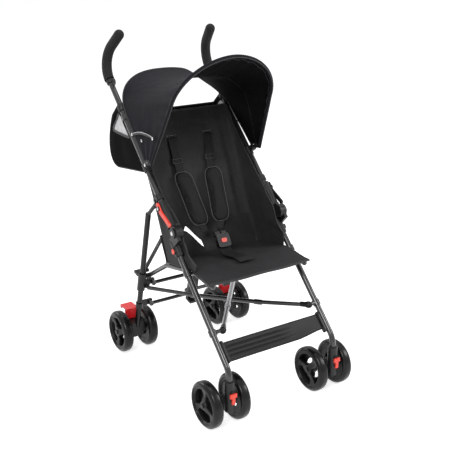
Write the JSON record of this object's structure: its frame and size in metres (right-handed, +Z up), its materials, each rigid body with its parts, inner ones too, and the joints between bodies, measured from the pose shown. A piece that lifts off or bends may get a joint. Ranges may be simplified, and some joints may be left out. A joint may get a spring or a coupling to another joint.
{
  "type": "umbrella stroller",
  "caption": "Lightweight folding umbrella stroller: crook-handled tube frame with swivel casters, sling seat with padded harness, canopy and rear flap.",
  "frame": {"origin": "on the floor, midway between the front of the front wheels and the back of the handles", "axes": "+Z up, the child faces -Y, +X to the child's left"},
  "size_m": [0.5076, 0.752, 1.0553],
  "materials": {
    "frame_tube": "satin black powder coat",
    "brace_tube": "satin dark grey",
    "grip_foam": "matt foam",
    "red_plastic": "satin",
    "tyre": "satin dark grey",
    "canopy_cloth": "woven",
    "flap_cloth": "woven",
    "seat_cloth": "woven",
    "pad_cloth": "padded",
    "webbing": "woven webbing",
    "black_plastic": "satin"
  },
  "bodies": {
    "frame_right": {"handle_tube_right": "frame_tube", "handle_grip_right": "grip_foam", "knuckle_upper_right": "black_plastic", "canopy_clip_right": "black_plastic", "rear_bracket_right": "black_plastic"},
    "front_leg_right": {"front_leg_right": "frame_tube", "knuckle_lower_right": "black_plastic", "caster_socket_right": "black_plastic", "footrest": "black_plastic"},
    "rear_leg_right": {"rear_leg_right": "frame_tube", "rear_joint_right": "black_plastic", "brake_housing_right": "black_plastic"},
    "lock_lever_right": {"lock_lever_right": "red_plastic"},
    "swivel_lock_right": {"swivel_lock_right": "red_plastic"},
    "caster_fork_right": {"caster_fork_right": "black_plastic"},
    "front_wheel_outer_right": {"front_wheel_outer_right": "tyre"},
    "front_wheel_inner_right": {"front_wheel_inner_right": "tyre"},
    "seat_rail_right": {"seat_rail_right": "frame_tube"},
    "brake_pedal_right": {"brake_pedal_right": "red_plastic"},
    "rear_wheel_outer_right": {"rear_wheel_outer_right": "tyre"},
    "rear_wheel_inner_right": {"rear_wheel_inner_right": "tyre"},
    "rear_brace_right": {"rear_brace_right": "frame_tube"},
    "lower_brace_right": {"lower_brace_right": "brace_tube"},
    "lower_bar_right": {"lower_bar_right": "frame_tube"},
    "upper_bar_right": {"upper_bar_right": "frame_tube"},
    "frame_left": {"handle_tube_left": "frame_tube", "handle_grip_left": "grip_foam", "knuckle_upper_left": "black_plastic", "canopy_clip_left": "black_plastic", "rear_bracket_left": "black_plastic"},
    "front_leg_left": {"front_leg_left": "frame_tube", "knuckle_lower_left": "black_plastic", "caster_socket_left": "black_plastic"},
    "rear_leg_left": {"rear_leg_left": "frame_tube", "rear_joint_left": "black_plastic", "brake_housing_left": "black_plastic"},
    "lock_lever_left": {"lock_lever_left": "red_plastic"},
    "swivel_lock_left": {"swivel_lock_left": "red_plastic"},
    "caster_fork_left": {"caster_fork_left": "black_plastic"},
    "front_wheel_outer_left": {"front_wheel_outer_left": "tyre"},
    "front_wheel_inner_left": {"front_wheel_inner_left": "tyre"},
    "seat_rail_left": {"seat_rail_left": "frame_tube"},
    "brake_pedal_left": {"brake_pedal_left": "red_plastic"},
    "rear_wheel_outer_left": {"rear_wheel_outer_left": "tyre"},
    "rear_wheel_inner_left": {"rear_wheel_inner_left": "tyre"},
    "rear_brace_left": {"rear_brace_left": "frame_tube"},
    "lower_brace_left": {"lower_brace_left": "brace_tube"},
    "lower_bar_left": {"lower_bar_left": "frame_tube"},
    "upper_bar_left": {"upper_bar_left": "frame_tube"},
    "fold_pedal": {"fold_pedal": "black_plastic"},
    "seat": {"seat_back": "seat_cloth", "seat_base": "seat_cloth", "shoulder_pad_right": "pad_cloth", "shoulder_pad_left": "pad_cloth", "harness_straps": "webbing", "canopy_fabric": "canopy_cloth", "rear_flap": "flap_cloth"},
    "harness_buckle": {"harness_buckle": "black_plastic"},
    "canopy_bow": {"canopy_bow": "black_plastic"},
    "buckle_button": {"buckle_button": "red_plastic"}
  },
  "joints": [
    {"name": "frame_fold", "type": "hinge", "parent": "frame_right", "child": "front_leg_right", "pos_m": [-0.188, -0.07, 0.508], "axis": [-1, 0, 0], "range_deg": [0, 145], "deforming": ["seat_back", "seat_base", "shoulder_pad_right", "shoulder_pad_left", "harness_straps", "rear_flap", "footrest"]},
    {"name": "left_side_slide", "type": "slide", "parent": "frame_right", "child": "frame_left", "axis": [-1, 0, 0], "range_m": [0, 0.2142]},
    {"name": "seat_slide", "type": "slide", "parent": "frame_right", "child": "seat", "axis": [-1, 0, 0], "range_m": [0, 0.1072]},
    {"name": "front_leg_left_fold", "type": "hinge", "parent": "frame_left", "child": "front_leg_left", "pos_m": [0.188, -0.07, 0.508], "axis": [-1, 0, 0], "range_deg": [0, 145.01]},
    {"name": "rear_leg_right_fold", "type": "hinge", "parent": "frame_right", "child": "rear_leg_right", "pos_m": [-0.188, 0.045, 0.573], "axis": [-1, 0, 0], "range_deg": [0, 59.26]},
    {"name": "seat_rail_right_fold", "type": "hinge", "parent": "front_leg_right", "child": "seat_rail_right", "pos_m": [-0.165, -0.12904, 0.39804], "axis": [1, 0, 0], "range_deg": [0, 65.66]},
    {"name": "rear_leg_left_fold", "type": "hinge", "parent": "frame_left", "child": "rear_leg_left", "pos_m": [0.188, 0.045, 0.573], "axis": [-1, 0, 0], "range_deg": [0, 59.26]},
    {"name": "seat_rail_left_fold", "type": "hinge", "parent": "front_leg_left", "child": "seat_rail_left", "pos_m": [0.165, -0.12904, 0.39804], "axis": [1, 0, 0], "range_deg": [0, 65.66]},
    {"name": "lower_brace_right_swing", "type": "hinge", "parent": "front_leg_right", "child": "lower_brace_right", "pos_m": [-0.155, -0.26622, 0.26582], "axis": [0.7232, -0.5536, 0.413], "range_deg": [0, 45.8]},
    {"name": "lower_brace_left_swing", "type": "hinge", "parent": "front_leg_left", "child": "lower_brace_left", "pos_m": [0.155, -0.26622, 0.26582], "axis": [0.7232, 0.5536, -0.413], "range_deg": [0, 45.8]},
    {"name": "rear_brace_right_swing", "type": "hinge", "parent": "frame_right", "child": "rear_brace_right", "pos_m": [-0.176, 0.23667, 0.76701], "axis": [-0.6857, 0.4772, -0.5497], "range_deg": [0, 37.08]},
    {"name": "rear_brace_left_swing", "type": "hinge", "parent": "frame_left", "child": "rear_brace_left", "pos_m": [0.176, 0.23667, 0.76701], "axis": [-0.6857, -0.4772, 0.5497], "range_deg": [0, 37.08]},
    {"name": "lower_bar_right_swing", "type": "hinge", "parent": "rear_leg_right", "child": "lower_bar_right", "pos_m": [-0.148, 0.19078, 0.176], "axis": [0, -0.9694, -0.2453], "range_deg": [0, 73.93]},
    {"name": "upper_bar_right_swing", "type": "hinge", "parent": "rear_leg_right", "child": "upper_bar_right", "pos_m": [-0.148, 0.17003, 0.258], "axis": [0, -0.9694, -0.2453], "range_deg": [0, 73.93]},
    {"name": "lower_bar_left_swing", "type": "hinge", "parent": "rear_leg_left", "child": "lower_bar_left", "pos_m": [0.148, 0.19078, 0.176], "axis": [0, 0.9694, 0.2453], "range_deg": [0, 73.93]},
    {"name": "upper_bar_left_swing", "type": "hinge", "parent": "rear_leg_left", "child": "upper_bar_left", "pos_m": [0.148, 0.17003, 0.258], "axis": [0, 0.9694, 0.2453], "range_deg": [0, 73.93]},
    {"name": "fold_pedal_swing", "type": "hinge", "parent": "lower_bar_right", "child": "fold_pedal", "pos_m": [0, 0.19078, 0.176], "axis": [0, 0.9694, 0.2453], "range_deg": [0, 73.93]},
    {"name": "caster_right_swivel", "type": "hinge", "parent": "front_leg_right", "child": "caster_fork_right", "pos_m": [-0.188, -0.35, 0], "axis": [0, 0, 1], "continuous": true},
    {"name": "front_wheel_outer_right_spin", "type": "hinge", "parent": "caster_fork_right", "child": "front_wheel_outer_right", "pos_m": [-0.234, -0.306, 0.07], "axis": [1, 0, 0], "continuous": true},
    {"name": "rear_wheel_outer_right_spin", "type": "hinge", "parent": "rear_leg_right", "child": "rear_wheel_outer_right", "pos_m": [-0.234, 0.242, 0.07], "axis": [1, 0, 0], "continuous": true},
    {"name": "front_wheel_inner_right_spin", "type": "hinge", "parent": "caster_fork_right", "child": "front_wheel_inner_right", "pos_m": [-0.142, -0.306, 0.07], "axis": [1, 0, 0], "continuous": true},
    {"name": "rear_wheel_inner_right_spin", "type": "hinge", "parent": "rear_leg_right", "child": "rear_wheel_inner_right", "pos_m": [-0.142, 0.242, 0.07], "axis": [1, 0, 0], "continuous": true},
    {"name": "swivel_lock_right_slide", "type": "slide", "parent": "front_leg_right", "child": "swivel_lock_right", "axis": [0, 0, -1], "range_m": [0, 0.006]},
    {"name": "brake_pedal_right_press", "type": "hinge", "parent": "rear_leg_right", "child": "brake_pedal_right", "pos_m": [-0.188, 0.254, 0.115], "axis": [-1, 0, 0], "range_deg": [0, 20]},
    {"name": "lock_lever_right_lift", "type": "hinge", "parent": "frame_right", "child": "lock_lever_right", "pos_m": [-0.188, 0.00404, 0.56407], "axis": [-1, 0, 0], "range_deg": [0, 20]},
    {"name": "caster_left_swivel", "type": "hinge", "parent": "front_leg_left", "child": "caster_fork_left", "pos_m": [0.188, -0.35, 0], "axis": [0, 0, 1], "continuous": true},
    {"name": "front_wheel_outer_left_spin", "type": "hinge", "parent": "caster_fork_left", "child": "front_wheel_outer_left", "pos_m": [0.234, -0.306, 0.07], "axis": [1, 0, 0], "continuous": true},
    {"name": "rear_wheel_outer_left_spin", "type": "hinge", "parent": "rear_leg_left", "child": "rear_wheel_outer_left", "pos_m": [0.234, 0.242, 0.07], "axis": [1, 0, 0], "continuous": true},
    {"name": "front_wheel_inner_left_spin", "type": "hinge", "parent": "caster_fork_left", "child": "front_wheel_inner_left", "pos_m": [0.142, -0.306, 0.07], "axis": [1, 0, 0], "continuous": true},
    {"name": "rear_wheel_inner_left_spin", "type": "hinge", "parent": "rear_leg_left", "child": "rear_wheel_inner_left", "pos_m": [0.142, 0.242, 0.07], "axis": [1, 0, 0], "continuous": true},
    {"name": "swivel_lock_left_slide", "type": "slide", "parent": "front_leg_left", "child": "swivel_lock_left", "axis": [0, 0, -1], "range_m": [0, 0.006]},
    {"name": "brake_pedal_left_press", "type": "hinge", "parent": "rear_leg_left", "child": "brake_pedal_left", "pos_m": [0.188, 0.254, 0.115], "axis": [-1, 0, 0], "range_deg": [0, 20]},
    {"name": "lock_lever_left_lift", "type": "hinge", "parent": "frame_left", "child": "lock_lever_left", "pos_m": [0.188, 0.00404, 0.56407], "axis": [-1, 0, 0], "range_deg": [0, 20]},
    {"name": "canopy_fold", "type": "hinge", "parent": "seat", "child": "canopy_bow", "pos_m": [0, 0.089, 0.678], "axis": [-1, 0, 0], "range_deg": [0, 38], "deforming": ["canopy_bow", "canopy_fabric"]},
    {"name": "buckle_shift", "type": "slide", "parent": "seat", "child": "harness_buckle", "axis": [0, -0.866, 0.5], "range_m": [0, 0.0222]},
    {"name": "buckle_press", "type": "slide", "parent": "harness_buckle", "child": "buckle_button", "axis": [0, 0.866, -0.5], "range_m": [0, 0.002], "stiffness_N_per_m": 2000, "springref_m": -0.001}
  ],
  "couplings": [
    {"joint": "left_side_slide", "follows": "frame_fold", "m_per_rad": 0.084561},
    {"joint": "seat_slide", "follows": "frame_fold", "m_per_rad": 0.04228},
    {"joint": "front_leg_left_fold", "follows": "frame_fold", "ratio": 1},
    {"joint": "rear_leg_right_fold", "follows": "frame_fold", "ratio": 0.40856},
    {"joint": "seat_rail_right_fold", "follows": "frame_fold", "ratio": 0.45271},
    {"joint": "rear_leg_left_fold", "follows": "frame_fold", "ratio": 0.40856},
    {"joint": "seat_rail_left_fold", "follows": "frame_fold", "ratio": 0.45271},
    {"joint": "lower_brace_right_swing", "follows": "frame_fold", "ratio": 0.31574},
    {"joint": "lower_brace_left_swing", "follows": "frame_fold", "ratio": 0.31574},
    {"joint": "rear_brace_right_swing", "follows": "frame_fold", "ratio": 0.25565},
    {"joint": "rear_brace_left_swing", "follows": "frame_fold", "ratio": 0.25565},
    {"joint": "lower_bar_right_swing", "follows": "frame_fold", "ratio": 0.50977},
    {"joint": "upper_bar_right_swing", "follows": "frame_fold", "ratio": 0.50977},
    {"joint": "lower_bar_left_swing", "follows": "frame_fold", "ratio": 0.50977},
    {"joint": "upper_bar_left_swing", "follows": "frame_fold", "ratio": 0.50977},
    {"joint": "fold_pedal_swing", "follows": "frame_fold", "ratio": 0.50977},
    {"joint": "buckle_shift", "follows": "frame_fold", "m_per_rad": 0.008693}
  ]
}
